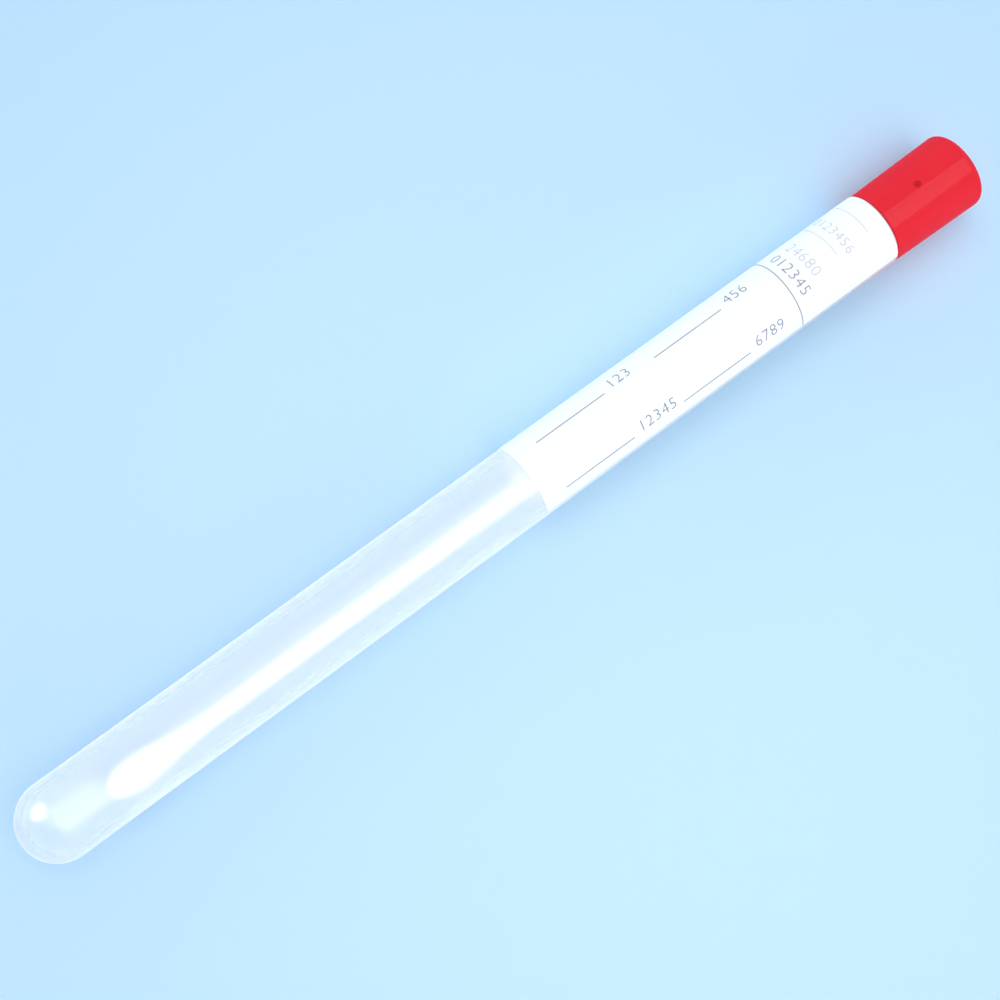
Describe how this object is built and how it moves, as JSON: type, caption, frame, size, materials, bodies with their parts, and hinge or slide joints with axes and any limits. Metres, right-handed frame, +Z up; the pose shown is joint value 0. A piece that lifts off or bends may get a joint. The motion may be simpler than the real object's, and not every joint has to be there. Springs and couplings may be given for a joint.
{
  "type": "specimen swab tube",
  "caption": "Round-bottomed translucent tube with a wrapped paper label, closed by a push-in cap that carries a fibre-tipped swab on a stick.",
  "frame": {"origin": "on the surface that the tube lies on, under the middle of its length", "axes": "+X along the tube's axis from the round bottom to the cap, +Z up; the label's bare strip faces -Y"},
  "size_m": [0.1836, 0.0132, 0.0133],
  "materials": {
    "tube_plastic": "natural polypropylene, translucent, softly frosted with a gentle shine",
    "label_paper": "smooth white label paper with thin grey rules and plain figures",
    "cap_plastic": "satin red polyethylene",
    "stick_plastic": "smooth white plastic",
    "bud_fibre": "white spun fibre, wound in a soft bud"
  },
  "bodies": {
    "tube": {"tube": "tube_plastic", "label": "label_paper"},
    "swab": {"cap": "cap_plastic", "shaft": "stick_plastic", "bud": "bud_fibre"}
  },
  "joints": [
    {"name": "swab_pull", "type": "slide", "parent": "tube", "child": "swab", "axis": [1, 0, 0], "range_m": [0, 0.156]}
  ]
}
